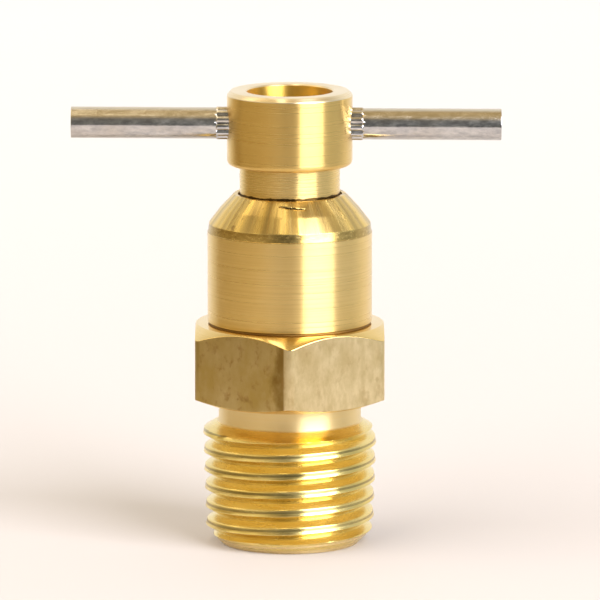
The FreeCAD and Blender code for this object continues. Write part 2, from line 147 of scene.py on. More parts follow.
# Handle pin
PIN_LEFT, PIN_RIGHT = -16.5, 15.96
PIN_HEIGHT, PIN_TILT = 32.1, math.radians(0.33)
PIN_RADIUS = 1.19
PIN_HOLE_RADIUS = 1.25
KNURL_HALF_LENGTH = 5.55
KNURL_RIDGES, KNURL_PHASE = 12, math.radians(7)
KNURL_CREST, KNURL_ROOT = 1.27, 1.09
KNURL_VALLEY_POWER = 2.4
COLUMNS_PER_RIDGE = 12
PIN_HOLE_HALF_LENGTH = 8
CUTTER_SIDES = 64

# Material slots of the body and of the stem
THREAD, RELIEF, FLATS, CHAMFER, SHADED, BARREL, BAND, CONE, INNER, CREST = range(10)
STEM_INNER, STEM_NECK, STEM_HEAD, STEM_RIM, STEM_CUP = range(5)


# ---------------------------------------------------------------- camera, floor and lights


def look_at(thing, target):
    """Turns a camera or light to face a point."""
    direction = Vector(target) - thing.location
    thing.rotation_euler = direction.to_track_quat("-Z", "Y").to_euler()


def add_camera():
    """The camera, about ten degrees above the horizon with a long lens."""
    data = bpy.data.cameras.new("camera")
    data.sensor_width = CAMERA_SENSOR
    data.lens = CAMERA_LENS
    data.clip_start = 0.01
    camera = bpy.data.objects.new("camera", data)
    back = Vector((0, -math.cos(CAMERA_ELEVATION), math.sin(CAMERA_ELEVATION)))
    camera.location = CAMERA_AIM + back * CAMERA_DISTANCE
    look_at(camera, CAMERA_AIM)
    bpy.context.scene.collection.objects.link(camera)
    bpy.context.scene.camera = camera


def add_light(name, place, target, width, height, power, colour=(1, 1, 1), in_gloss=True):
    """A rectangular soft light that faces a point. It may be kept out of glossy reflections."""
    data = bpy.data.lights.new(name, "AREA")
    data.shape = "RECTANGLE"
    data.size, data.size_y = width, height
    data.energy = power
    data.color = colour
    light = bpy.data.objects.new(name, data)
    light.location = place
    light.visible_camera = False
    light.visible_glossy = in_gloss
    look_at(light, target)
    bpy.context.scene.collection.objects.link(light)


def blend(tree, share, low, high):
    """A colour between two, each a colour or another node's output."""
    node = tree.nodes.new("ShaderNodeMix")
    node.data_type = "RGBA"
    tree.links.new(share, node.inputs[0])
    for socket, value in ((node.inputs[6], low), (node.inputs[7], high)):
        if isinstance(value, tuple):
            socket.default_value = (*value, 1)
        else:
            tree.links.new(value, socket)
    return node.outputs[2]


def towards(tree, direction, low, high):
    """A share that rises from 0 to 1 as the view of the room turns towards a direction."""
    coords = tree.nodes.new("ShaderNodeTexCoord")
    facing = tree.nodes.new("ShaderNodeVectorMath")
    facing.operation = "DOT_PRODUCT"
    facing.inputs[1].default_value = direction
    spread = tree.nodes.new("ShaderNodeMapRange")
    spread.interpolation_type = "SMOOTHSTEP"
    spread.inputs["From Min"].default_value = low
    spread.inputs["From Max"].default_value = high
    tree.links.new(coords.outputs["Generated"], facing.inputs[0])
    tree.links.new(facing.outputs["Value"], spread.inputs["Value"])
    return spread.outputs[0]


def add_world():
    """A plain room: dim in front, brown at the left, light at the right and above, bright behind."""
    world = bpy.data.worlds.new("studio")
    bpy.context.scene.world = world
    world.use_nodes = True
    tree = world.node_tree
    tree.nodes.clear()
    left = blend(tree, towards(tree, (0, 0, 1), 0.04, 0.45), ROOM_LEFT_LOW, ROOM_LEFT_HIGH)
    colour = blend(tree, towards(tree, (1, 0, 0), -0.75, -0.1), left, ROOM_FRONT)
    colour = blend(tree, towards(tree, (1, 0.1, 0), 0.3, 0.95), colour, ROOM_RIGHT)
    colour = blend(tree, towards(tree, (0, 0, 1), 0.52, 0.9), colour, ROOM_ABOVE)
    colour = blend(tree, towards(tree, (0.15, 0.98, 0.05), 0.2, 0.85), colour, ROOM_BEHIND)
    room = tree.nodes.new("ShaderNodeBackground")
    seen = tree.nodes.new("ShaderNodeBackground")
    seen.inputs["Color"].default_value = (*ROOM_SEEN, 1)
    path = tree.nodes.new("ShaderNodeLightPath")
    mix = tree.nodes.new("ShaderNodeMixShader")
    out = tree.nodes.new("ShaderNodeOutputWorld")
    tree.links.new(colour, room.inputs["Color"])
    tree.links.new(path.outputs["Is Camera Ray"], mix.inputs[0])
    tree.links.new(room.outputs[0], mix.inputs[1])
    tree.links.new(seen.outputs[0], mix.inputs[2])
    tree.links.new(mix.outputs[0], out.inputs[0])


def add_floor():
    """A pale sheet that ends a little way in front of the object and beside it, painted darker and warmer
    near the object and paler towards the back: painted shade and light.
    """
    mesh = bpy.data.meshes.new("floor")
    corners = [
        (FLOOR_LEFT, FLOOR_FRONT, 0),
        (FLOOR_RIGHT, FLOOR_FRONT, 0),
        (FLOOR_RIGHT, FLOOR_BACK, 0),
        (FLOOR_LEFT, FLOOR_BACK, 0),
    ]
    mesh.from_pydata(corners, [], [(0, 1, 2, 3)])
    floor = bpy.data.objects.new("floor", mesh)
    nodes = Nodes("floor_paper")
    # painted shade and light: darker and warmer near the object, paler towards the back
    far = nodes.spread(nodes.axes()["Y"], 0.0, FLOOR_FADE)
    nodes.colour(nodes.mix(far, FLOOR_NEAR, FLOOR_FAR))
    nodes.shader.inputs["Roughness"].default_value = 0.75
    nodes.shader.inputs["Specular IOR Level"].default_value = 0.2
    mesh.materials.append(nodes.material)
    bpy.context.scene.collection.objects.link(floor)


def add_lights():
    """A tall soft box at the right, a fill for the floor and two overhead strips."""
    middle = SOFTBOX_BOTTOM + SOFTBOX_HEIGHT / 2
    right, front = math.sin(SOFTBOX_AZIMUTH), -math.cos(SOFTBOX_AZIMUTH)
    place = (SOFTBOX_DISTANCE * right, SOFTBOX_DISTANCE * front, middle)
    add_light(
        "softbox", place, (0, 0, middle), SOFTBOX_WIDTH, SOFTBOX_HEIGHT, power=14.2, colour=(0.95, 0.98, 1.1)
    )
    add_light(
        "overhead_strip", (-0.09, 0.0, 0.6), (-0.09, 0.0, 0), 0.07, 0.7, power=0.4, colour=(1, 0.93, 0.78)
    )
    fill_colour = (1, 0.98, 0.98)
    add_light(
        "floor_fill", (-0.8, -0.5, 0.7), (0, 0.1, 0), 1.4, 1.0, power=15.0, colour=fill_colour, in_gloss=False
    )
    add_light(
        "overhead_left", (-0.34, 0.14, 0.55), (0, 0, 0.02), 0.12, 0.4, power=0.28, colour=(1, 0.87, 0.66)
    )


def add_studio():
    """The camera, the floor, the room and the lights."""
    add_camera()
    add_floor()
    add_world()
    add_lights()
    bpy.context.scene.view_settings.view_transform = "Standard"


# ---------------------------------------------------------------- turned meshes


def body_columns():
    """Angles of the body's columns: dense round the hexagon's corners, whose arcs they follow."""
    steps = [
        *np.linspace(-HEX_ARC_HALF_DEGREES, HEX_ARC_HALF_DEGREES, ARC_COLUMNS),
        *np.linspace(HEX_ARC_HALF_DEGREES, 60 - HEX_ARC_HALF_DEGREES, FLAT_COLUMNS)[1:-1],
    ]
    angles = [30 + 60 * k + step for k in range(6) for step in steps]
    return np.radians(np.array(sorted(a % 360 for a in angles)))


def even_columns(count):
    """Evenly spaced angles."""
    return np.arange(count) * TAU / count


def hexagon_radius(theta):
    """Radius of the hexagon's outline, corners rounded, at each angle."""
    from_corner = np.radians(np.abs((np.degrees(theta) % 60) - 30))
    centre = (HEX_APOTHEM - HEX_CORNER_RADIUS) / math.cos(math.radians(30))
    inside = np.maximum(HEX_CORNER_RADIUS**2 - (centre * np.sin(from_corner)) ** 2, 0)
    arc = centre * np.cos(from_corner) + np.sqrt(inside)
    flat = HEX_APOTHEM / np.cos(math.radians(30) - from_corner)
    return np.where(from_corner < math.radians(HEX_ARC_HALF_DEGREES), arc, flat)


def rounded(corners, columns):
    """Rows of (radius, height) for each column along a path of (radius, height, rounding, steps) corners."""
    count = len(columns)
    points = [np.stack([np.broadcast_to(v, count) for v in c[:2]], axis=-1).astype(float) for c in corners]
    rows = [points[0]]
    for before, here, after, corner in zip(points, points[1:], points[2:], corners[1:]):
        radius, steps = corner[2], corner[3]
        if radius == 0:
            rows.append(here)
            continue
        back, ahead = before - here, after - here
        back_length = np.linalg.norm(back, axis=1, keepdims=True)
        ahead_length = np.linalg.norm(ahead, axis=1, keepdims=True)
        back, ahead = back / back_length, ahead / ahead_length
        half = np.arccos(np.clip((back * ahead).sum(1, keepdims=True), -1, 1)) / 2
        reach = np.minimum(radius / np.tan(half), ROUNDING_SHARE * np.minimum(back_length, ahead_length))
        start, end = here + back * reach, here + ahead * reach
        for step in range(steps + 1):
            share = step / steps
            # a quadratic curve, close to the arc for these small roundings
            rows.append(start * (1 - share) ** 2 + 2 * here * share * (1 - share) + end * share**2)
    rows.append(points[-1])
    return np.array(rows)


def soft_min(a, b, width):
    """The lower of two values, blended where they lie within a width of each other."""
    near = np.maximum(width - np.abs(a - b), 0) / width
    return np.minimum(a, b) - near**2 * width / 4


def thread_offsets(pitch, flat, below, above):
    """Heights within one pitch from a crest's middle, dense within two reaches of the crest's edges."""
    half = pitch / 2
    edge = flat / 2
    near_root, at_root = half - 0.06, half - 0.03
    upper = [
        *np.linspace(edge - above, edge + above, 9),
        *np.linspace(edge + above, near_root, 4)[1:],
        *np.linspace(at_root, half, 3),
    ]
    lower = [
        *np.linspace(edge - below, edge + below, 8),
        *np.linspace(edge + below, near_root, 4)[1:],
        at_root,
    ]
    return np.array(sorted([*(-height for height in lower), 0.0, *upper]))


def helical_rows(columns, low, high, pitch, crest_height, offsets, radius):
    """Rows that climb with a thread, held between two heights, and the number of rows in a pitch."""
    first = math.floor((low - pitch - crest_height - offsets[-1]) / pitch)
    last = math.ceil((high + pitch - crest_height - offsets[0]) / pitch)
    climb = pitch * columns / TAU
    rows = []
    for turn in range(first, last + 1):
        for offset in offsets:
            height = np.clip(crest_height + turn * pitch + offset + climb, low, high)
            phase = (height - climb - crest_height + pitch / 2) % pitch - pitch / 2
            rows.append(np.stack([radius(height, phase, columns), height], axis=-1))
    return np.array(rows), len(offsets)


def add_strip(mesh, columns, rows, slots, shift=0):
    """
    Adds a band of faces, one quad for each pair of rows and columns, and returns them.
    Slots is one material slot, or one for each row. A helical band joins its ends a pitch of rows apart.
    """
    by_row = [slots] * len(rows) if isinstance(slots, int) else slots
    cosine, sine = np.cos(columns), np.sin(columns)
    grid = [
        [mesh.verts.new((r * c * MM, r * s * MM, z * MM)) for (r, z), c, s in zip(row, cosine, sine)]
        for row in rows
    ]
    count = len(columns)
    faces = []
    for i in range(len(rows) - 1):
        for j in range(count):
            wrap = shift if j == count - 1 else 0
            if i + 1 + wrap >= len(rows):
                continue
            ahead = (j + 1) % count
            low, high = grid[i + wrap][ahead], grid[i + 1 + wrap][ahead]
            face = mesh.faces.new((grid[i][j], low, high, grid[i + 1][j]))
            face.smooth = True
            face.material_index = by_row[i]
            faces.append(face)
    return faces


def add_zones(mesh, columns, zones):
    """Adds a turned band from corners that each name the slot of the faces that follow them."""
    by_row = []
    for corner, slot in zones:
        by_row += [slot] * (corner[3] + 1 if corner[2] > 0 else 1)
    add_strip(mesh, columns, rounded([corner for corner, _ in zones], columns), by_row)


def finish_mesh(mesh, name, materials):
    """Welds the bands into one closed mesh and makes it an object with its materials."""
    bmesh.ops.remove_doubles(mesh, verts=mesh.verts, dist=WELD_DISTANCE)
    bmesh.ops.dissolve_degenerate(mesh, edges=mesh.edges, dist=WELD_DISTANCE)
    bmesh.ops.recalc_face_normals(mesh, faces=mesh.faces)
    data = bpy.data.meshes.new(name)
    mesh.to_mesh(data)
    mesh.free()
    for material in materials:
        data.materials.append(material)
    piece = bpy.data.objects.new(name, data)
    bpy.context.scene.collection.objects.link(piece)
    return piece


def even_normals(piece):
    """Keeps large faces flat to the eye beside small roundings, and cuts the shading at sharp edges."""
    piece.data.set_sharp_from_angle(angle=SHARP_EDGE)
    even = piece.modifiers.new("even_normals", "WEIGHTED_NORMAL")
    even.mode = "FACE_AREA"
    even.weight = NORMAL_WEIGHT
    even.keep_sharp = True


def ripple(columns, size, waves, phase):
    """A small uneven wave round the axis, for edges that a tool left ragged."""
    phase_step, fall = 1.7, 0.35
    total = np.zeros_like(columns)
    for k, wave in enumerate(waves):
        total = total + np.sin(wave * columns + phase + phase_step * k) / (1 + fall * k)
    return size * total / 2


# ---------------------------------------------------------------- materials


class Nodes:
    """A material's node tree with short ways to add the nodes used here."""

    def __init__(self, name):
        self.material = bpy.data.materials.new(name)
        self.material.use_nodes = True
        self.tree = self.material.node_tree
        self.shader = self.tree.nodes["Principled BSDF"]
        self.coords = self.tree.nodes.new("ShaderNodeTexCoord").outputs["Object"]

    def link(self, output, target):
        self.tree.links.new(output, target)

    def colour(self, output):
        self.link(output, self.shader.inputs["Base Color"])

    def roughness(self, output):
        self.link(output, self.shader.inputs["Roughness"])

    def normal(self, output):
        self.link(output, self.shader.inputs["Normal"])

    def axes(self):
        """The object coordinates one by one, as outputs named X, Y and Z."""
        node = self.tree.nodes.new("ShaderNodeSeparateXYZ")
        self.link(self.coords, node.inputs[0])
        return node.outputs

    def scaled(self, scale, shift=(0, 0, 0)):
        """Object coordinates scaled per axis, in waves per metre."""
        mapping = self.tree.nodes.new("ShaderNodeMapping")
        mapping.inputs["Scale"].default_value = scale
        mapping.inputs["Location"].default_value = shift
        self.link(self.coords, mapping.inputs[0])
        return mapping.outputs[0]

    def noise(self, vector, detail=3.0, roughness=0.55):
        node = self.tree.nodes.new("ShaderNodeTexNoise")
        node.inputs["Scale"].default_value = 1.0
        node.inputs["Detail"].default_value = detail
        node.inputs["Roughness"].default_value = roughness
        self.link(vector, node.inputs["Vector"])
        return node.outputs["Fac"]

    def spread(self, value, low, high, to_low=0.0, to_high=1.0):
        node = self.tree.nodes.new("ShaderNodeMapRange")
        for name, number in (("From Min", low), ("From Max", high), ("To Min", to_low), ("To Max", to_high)):
            node.inputs[name].default_value = number
        self.link(value, node.inputs["Value"])
        return node.outputs[0]

    def math(self, operation, a, b=0.0):
        node = self.tree.nodes.new("ShaderNodeMath")
        node.operation = operation
        for socket, value in zip(node.inputs, (a, b)):
            if isinstance(value, (int, float)):
                socket.default_value = value
            else:
                self.link(value, socket)
        return node.outputs[0]

    def mix(self, share, a, b):
        return blend(self.tree, share, a, b)

    def bump(self, height, distance, strength=1.0, under=None):
        node = self.tree.nodes.new("ShaderNodeBump")
        node.inputs["Strength"].default_value = strength
        node.inputs["Distance"].default_value = distance
        self.link(height, node.inputs["Height"])
        if under is not None:
            self.link(under, node.inputs["Normal"])
        return node.outputs[0]

    def around_z(self):
        """The direction round the Z axis, for surfaces cut on a lathe."""
        node = self.tree.nodes.new("ShaderNodeTangent")
        node.direction_type = "RADIAL"
        node.axis = "Z"
        return node.outputs[0]

    def angle_and_height(self, per_turn, per_metre):
        """Coordinates that follow the angle round Z and the height, without a seam."""
        node = self.tree.nodes.new("ShaderNodeVectorMath")
        node.operation = "NORMALIZE"
        flat = self.tree.nodes.new("ShaderNodeMapping")
        flat.inputs["Scale"].default_value = (1, 1, 0)
        self.link(self.coords, flat.inputs[0])
        self.link(flat.outputs[0], node.inputs[0])
        lift = self.tree.nodes.new("ShaderNodeVectorMath")
        lift.operation = "MULTIPLY"
        lift.inputs[1].default_value = (0, 0, per_metre)
        self.link(self.coords, lift.inputs[0])
        join = self.tree.nodes.new("ShaderNodeVectorMath")
        join.operation = "MULTIPLY_ADD"
        join.inputs[1].default_value = (per_turn, per_turn, 0)
        self.link(node.outputs[0], join.inputs[0])
        self.link(lift.outputs[0], join.inputs[2])
        return join.outputs[0]


def metal(name, rough, streak=0.0, sideways=False):
    """A bare metal's node tree. A streak above zero spreads its gloss up and down, or sideways."""
    nodes = Nodes(name)
    nodes.shader.inputs["Metallic"].default_value = 1.0
    nodes.shader.inputs["Roughness"].default_value = rough
    if streak > 0:
        nodes.shader.inputs["Anisotropic"].default_value = streak
        nodes.shader.inputs["Anisotropic Rotation"].default_value = 0.0 if sideways else 0.25
        nodes.link(nodes.around_z(), nodes.shader.inputs["Tangent"])
    return nodes


BRASS = (0.8, 0.56, 0.19)
BRASS_PALE = (0.85, 0.63, 0.27)
BRASS_DEEP = (0.76, 0.51, 0.16)
BRASS_BROWN = (0.34, 0.2, 0.06)
# painted shade: the colour of the dark band on the neck that stands for the shade in the gap under the lip
LIP_GAP_SHADE = (0.08, 0.045, 0.012)


def turned_brass(name, rough, streak, line_depth, line_scale, light=BRASS_PALE, dark=BRASS, cut=0.0):
    """
    Brass from a lathe tool: fine rings at uneven spacing and a little colour drift.
    A cut above zero darkens the valleys of the rings by that share.
    """
    nodes = metal(name, rough, streak)
    along_ring = 9
    rings = nodes.noise(nodes.scaled((along_ring, along_ring, line_scale)), 3.0, 0.6)
    coarse = nodes.noise(nodes.scaled((along_ring, along_ring, line_scale / 5)), 2.0, 0.5)
    drift = nodes.noise(nodes.scaled((260, 260, 160)), 3.0, 0.6)
    tone = nodes.math("ADD", nodes.spread(rings, 0.3, 0.7, 0, 0.6), nodes.spread(drift, 0.35, 0.7, 0, 0.4))
    valleys = nodes.spread(rings, 0.36, 0.52, cut, 0.0)
    nodes.colour(nodes.mix(valleys, nodes.mix(tone, dark, light), BRASS_BROWN))
    nodes.roughness(nodes.spread(rings, 0.25, 0.75, rough * 0.75, rough * 1.25))
    lines = nodes.bump(rings, line_depth * MM)
    nodes.normal(nodes.bump(coarse, line_depth * 2 * MM, 0.6, lines))
    return nodes


def barrel_brass():
    return turned_brass("barrel_brass", 0.3, 0.93, 0.005, 5000, cut=0.16).material


def head_brass():
    return turned_brass("head_brass", 0.3, 0.93, 0.001, 7000, BRASS, BRASS_DEEP).material


def neck_brass():
    """The turned neck, with a ragged dark band painted on it at the lip: painted shade of the gap between the
    lip and the neck.
    """
    nodes = turned_brass("neck_brass", 0.28, 0.9, 0.0012, 7000, cut=0.03)
    height = nodes.axes()["Z"]
    ragged = nodes.noise(nodes.scaled((1100, 1100, 300)), 3.0, 0.6)
    edge = nodes.math("ADD", height, nodes.math("MULTIPLY", ragged, 0.4 * MM))
    below = nodes.spread(edge, (LIP_TOP + 0.29) * MM, (LIP_TOP + 0.33) * MM, 0.95, 0.0)
    above = nodes.spread(height, (LIP_TOP - 0.2) * MM, (LIP_TOP - 0.05) * MM)
    # painted shade: a ragged dark band on the neck at the lip, standing for the shade of the gap between lip
    # and neck
    painted_gap_shade = nodes.math("MULTIPLY", below, above)
    unshaded_colour = nodes.shader.inputs["Base Color"].links[0].from_socket
    nodes.colour(nodes.mix(painted_gap_shade, unshaded_colour, LIP_GAP_SHADE))
    return nodes.material


def rim_brass():
    # painted reflection: a paler, creamier brass than the rest, standing for the bright room reflected in the
    # rim
    return turned_brass("rim_brass", 0.3, 0.6, 0.002, 5000, (0.86, 0.72, 0.48), (0.83, 0.67, 0.4)).material


def cup_brass():
    """The bored wall of the cup, with a broad gloss across its turning lines."""
    light, dark = (0.8, 0.53, 0.11), (0.75, 0.47, 0.09)
    return turned_brass("cup_brass", 0.42, 0.9, 0.003, 7000, light, dark).material


def shaded_brass():
    """The undercut at the barrel's foot, painted dark: painted shade in the recess."""
    light, dark = (0.34, 0.21, 0.06), (0.24, 0.14, 0.04)
    return turned_brass("shaded_brass", 0.5, 0.0, 0.002, 6000, light, dark).material


def thread_brass(name="thread_brass", dark=(0.76, 0.57, 0.17), light=(0.88, 0.71, 0.29)):
    """Thread flanks, torn slightly by the die."""
    nodes = metal(name, 0.24, 0.5)
    grain = nodes.noise(nodes.scaled((260, 260, 2600)), 3.0, 0.55)
    drift = nodes.noise(nodes.scaled((220, 220, 220)), 2.0, 0.5)
    colour = nodes.mix(nodes.spread(grain, 0.3, 0.7), dark, light)
    nodes.colour(nodes.mix(nodes.spread(drift, 0.55, 0.75, 0, 0.25), colour, BRASS_PALE))
    nodes.roughness(nodes.spread(grain, 0.25, 0.75, 0.18, 0.32))
    nodes.normal(nodes.bump(grain, 0.003 * MM))
    return nodes.material


def crest_brass():
    """The thread's flat crests, coloured darker and greener than its flanks."""
    return thread_brass("crest_brass", (0.36, 0.28, 0.09), (0.5, 0.4, 0.15))


def relief_brass():
    light, dark = (0.87, 0.71, 0.39), (0.84, 0.65, 0.3)
    return turned_brass("relief_brass", 0.42, 0.85, 0.003, 5000, light, dark).material


def band_brass():
    """The narrow band that the swaging tool burnished, painted darker than the barrel: a painted dark
    reflection.
    """
    nodes = metal("band_brass", 0.24, 0.3)
    marks = nodes.noise(nodes.angle_and_height(14, 6000))
    nodes.colour(nodes.mix(nodes.spread(marks, 0.3, 0.7), (0.42, 0.28, 0.08), (0.6, 0.42, 0.14)))
    nodes.roughness(nodes.spread(marks, 0.3, 0.7, 0.18, 0.3))
    return nodes.material


def gouge_share(nodes):
    """A share that is 1 inside the ragged gouge across the front of the cone, just under the lip."""
    bottom, top, soft = 26.44, 26.6, 0.06
    place = nodes.axes()
    ragged = nodes.noise(nodes.scaled((900, 900, 900)), 4.0, 0.6)
    sloping = nodes.math("ADD", place["Z"], nodes.math("MULTIPLY", place["X"], 0.1))
    height = nodes.math("ADD", sloping, nodes.math("MULTIPLY", ragged, 0.3 * MM))
    above = nodes.spread(height, bottom * MM, (bottom + soft) * MM)
    below = nodes.spread(height, (top - soft) * MM, top * MM, 1.0, 0.0)
    left = nodes.spread(place["X"], -0.9 * MM, -0.3 * MM)
    right = nodes.spread(place["X"], 0.9 * MM, 1.25 * MM, 1.0, 0.0)
    front = nodes.math("LESS_THAN", place["Y"], 0.0)
    share = nodes.math("MULTIPLY", nodes.math("MULTIPLY", above, below), nodes.math("MULTIPLY", left, right))
    return nodes.math("MULTIPLY", share, front)


def cone_brass():
    """The swaged cone, drawn into streaks that run down it, with a gouge near the lip."""
    nodes = metal("cone_brass", 0.2)
    streaks = nodes.noise(nodes.angle_and_height(5, 40), 1.5, 0.45)
    fine = nodes.noise(nodes.angle_and_height(12, 220), 2.0, 0.5)
    specks = nodes.noise(nodes.scaled((1500, 1500, 1500)), 2.0, 0.5)
    gouge = gouge_share(nodes)
    colour = nodes.mix(nodes.spread(streaks, 0.4, 0.6), (0.48, 0.34, 0.12), (0.82, 0.58, 0.18))
    colour = nodes.mix(nodes.spread(specks, 0.66, 0.72, 0, 0.6), colour, BRASS_BROWN)
    nodes.colour(nodes.mix(gouge, colour, (0.06, 0.035, 0.01)))
    nodes.roughness(nodes.spread(fine, 0.25, 0.75, 0.18, 0.34))
    shallow = nodes.bump(fine, 0.004 * MM)
    drawn = nodes.bump(streaks, 0.09 * MM, 1.0, shallow)
    nodes.normal(nodes.bump(nodes.math("SUBTRACT", 1.0, gouge), 0.05 * MM, 1.0, drawn))
    return nodes.material


def flats_brass():
    """Drawn bar stock on the flats: dull, pitted and stained. Left of the front corner they are painted
    browner and more pitted, with a dark streak by the corner: painted shade on that side, over real stains
    and pits.
    """
    nodes = metal("flats_brass", 0.42, 0.7, True)
    grain = nodes.noise(nodes.scaled((1500, 1500, 700)), 5.0, 0.65)
    blotch = nodes.noise(nodes.scaled((330, 330, 240), (3, 1, 0)), 5.0, 0.6)
    pits = nodes.noise(nodes.scaled((1500, 1500, 1100)), 3.0, 0.6)
    across = nodes.axes()["X"]
    left_from, left_to = -0.52 * MM, -0.4 * MM

    colour = nodes.mix(nodes.spread(grain, 0.3, 0.7), (0.58, 0.45, 0.22), (0.78, 0.64, 0.36))
    colour = nodes.mix(nodes.spread(blotch, 0.45, 0.65, 0, 0.6), colour, (0.5, 0.37, 0.16))
    stained = nodes.spread(blotch, 0.3, 0.6, 0.5, 0.95)
    # painted shade: browner left of the front corner, mixed with the blotchy stain
    left_shade_and_stain = nodes.math("MULTIPLY", stained, nodes.spread(across, left_from, left_to, 1.0, 0.0))
    colour = nodes.mix(left_shade_and_stain, colour, (0.44, 0.3, 0.08))
    ragged = nodes.math("ADD", across, nodes.spread(blotch, 0.3, 0.7, -0.7 * MM, 0.7 * MM))
    # painted shade: a dark ragged streak beside the front corner
    streak = nodes.math("MULTIPLY", left_shade_and_stain, nodes.spread(ragged, -1.3 * MM, -0.7 * MM, 0.0, 0.95))
    colour = nodes.mix(streak, colour, (0.24, 0.14, 0.03))
    dark_pits = nodes.spread(pits, 0.56, 0.68, 0, 0.65)
    # the pits are real marks; their greater strength left of the corner is painted shade
    pits_and_left_shade = nodes.math("MULTIPLY", dark_pits, nodes.spread(across, left_from, left_to, 1.0, 0.35))
    nodes.colour(nodes.mix(pits_and_left_shade, colour, BRASS_BROWN))
    nodes.roughness(nodes.spread(blotch, 0.3, 0.75, 0.34, 0.5))
    pitted = nodes.bump(nodes.spread(pits, 0.6, 0.75, 1, 0), 0.01 * MM)
    nodes.normal(nodes.bump(grain, 0.012 * MM, 1.0, pitted))
    return nodes.material


def chamfer_brass():
    return turned_brass("chamfer_brass", 0.16, 0.5, 0.002, 6000).material


def inner_brass():
    return turned_brass("inner_brass", 0.3, 0.6, 0.003, 5000, BRASS, BRASS_DEEP).material


def pin_steel():
    """Drawn steel wire: mottled along its length, with a brownish film in patches, and a warm pale colour
    painted along its top: a painted reflection.
    """
    nodes = metal("pin_steel", 0.2)
    mottle = nodes.noise(nodes.scaled((1300, 3000, 3000)), 5.0, 0.65)
    drawn = nodes.noise(nodes.scaled((120, 5200, 5200)), 3.0, 0.5)
    film = nodes.noise(nodes.scaled((160, 420, 420)), 3.0, 0.5)
    colour = nodes.mix(nodes.spread(mottle, 0.35, 0.68), (0.43, 0.43, 0.435), (0.7, 0.685, 0.66))
    colour = nodes.mix(nodes.spread(film, 0.45, 0.7, 0, 0.45), colour, (0.55, 0.46, 0.34))
    # painted reflection: the top of the pin is painted warmer and paler
    top = nodes.spread(nodes.axes()["Z"], (PIN_HEIGHT + 0.1) * MM, (PIN_HEIGHT + 0.8) * MM, 0.0, 0.75)
    nodes.colour(nodes.mix(top, colour, (0.66, 0.56, 0.39)))
    nodes.roughness(nodes.spread(mottle, 0.35, 0.7, 0.12, 0.24))
    shallow = nodes.bump(drawn, 0.001 * MM)
    nodes.normal(nodes.bump(mottle, 0.006 * MM, 1.0, shallow))
    return nodes.material


def ground_steel():
    """The needle's ground cone."""
    nodes = metal("ground_steel", 0.22, 0.5)
    rings = nodes.noise(nodes.scaled((200, 200, 16000)))
    nodes.colour(nodes.mix(nodes.spread(rings, 0.3, 0.7), (0.5, 0.5, 0.51), (0.66, 0.66, 0.67)))
    nodes.normal(nodes.bump(rings, 0.001 * MM))
    return nodes.material


def soft_material(name, low, high, rough, grain_depth):
    """A dull non-metal with a fine grain, for the seals and the seat."""
    nodes = Nodes(name)
    grain = nodes.noise(nodes.scaled((3000, 3000, 3000)), 4.0, 0.6)
    nodes.colour(nodes.mix(nodes.spread(grain, 0.3, 0.7), low, high))
    nodes.roughness(nodes.spread(grain, 0.3, 0.7, rough * 0.85, rough * 1.1))
    nodes.normal(nodes.bump(grain, grain_depth * MM))
    return nodes.material


# ---------------------------------------------------------------- pieces


def inlet_thread_radius(height, phase, columns):
    """Outer radius of the tapered thread, with rounded edges, a small burr, an end chamfer and a shoulder."""
    line = NPT_PITCH_RADIUS + height * NPT_SLOPE
    crest = (NPT_PITCH / 2 - NPT_CREST_FLAT) / 2 / FLANK
    root = (NPT_PITCH / 2 - NPT_ROOT_FLAT) / 2 / FLANK
    flank = crest - (np.abs(phase) - NPT_CREST_FLAT / 2) / FLANK
    land = crest - NPT_LAND_SLOPE * (phase + NPT_CREST_FLAT / 2)
    rise = soft_min(land, flank, np.where(phase > 0, UPPER_EDGE_ROUNDING, LOWER_EDGE_ROUNDING))
    rise = -soft_min(-rise, np.full_like(phase, root), ROOT_ROUNDING)
    wear = 0.008 * np.sin(7 * columns + 3.1 * height) + 0.006 * np.sin(23 * columns - 5.3 * height)
    from_edge = (phase + NPT_CREST_FLAT / 2 - BURR_INSET) / BURR_WIDTH
    burr = (BURR_HEIGHT + wear) * np.exp(-(from_edge**2))
    chamfer = END_RADIUS + height
    shoulder = RELIEF_RADIUS + (RELIEF_BOTTOM - height) / FLANK
    chamfered = soft_min(line + rise + burr, chamfer, CHAMFER_ROUNDING)
    return soft_min(chamfered, shoulder, SHOULDER_ROUNDING)


def body_thread_radius(height, phase, columns):
    """Radius of the body's inner thread: the groove is centred where the stem's ridge runs."""
    groove = BODY_ROOT - np.maximum(np.abs(phase) - THREAD_FLAT / 2, 0) / FLANK
    beyond = np.maximum(np.maximum(BODY_LEAD_BOTTOM - height, height - BODY_LEAD_TOP), 0)
    lead = BODY_CREST + BODY_LEAD_SLOPE * beyond
    return np.maximum(np.maximum(groove, BODY_CREST), lead)


def stem_thread_radius(height, phase, columns):
    """Radius of the stem's thread, chamfered at both ends."""
    ridge = STEM_CREST - np.maximum(np.abs(phase) - THREAD_FLAT / 2, 0) / FLANK
    low_lead = np.maximum(STEM_LEAD_DEPTH - (height - STEM_LEAD_BOTTOM), 0)
    high_lead = STEM_LEAD_SLOPE * np.maximum(height - STEM_LEAD_TOP, 0)
    return np.minimum(np.maximum(ridge, STEM_ROOT), STEM_CREST - low_lead - high_lead)


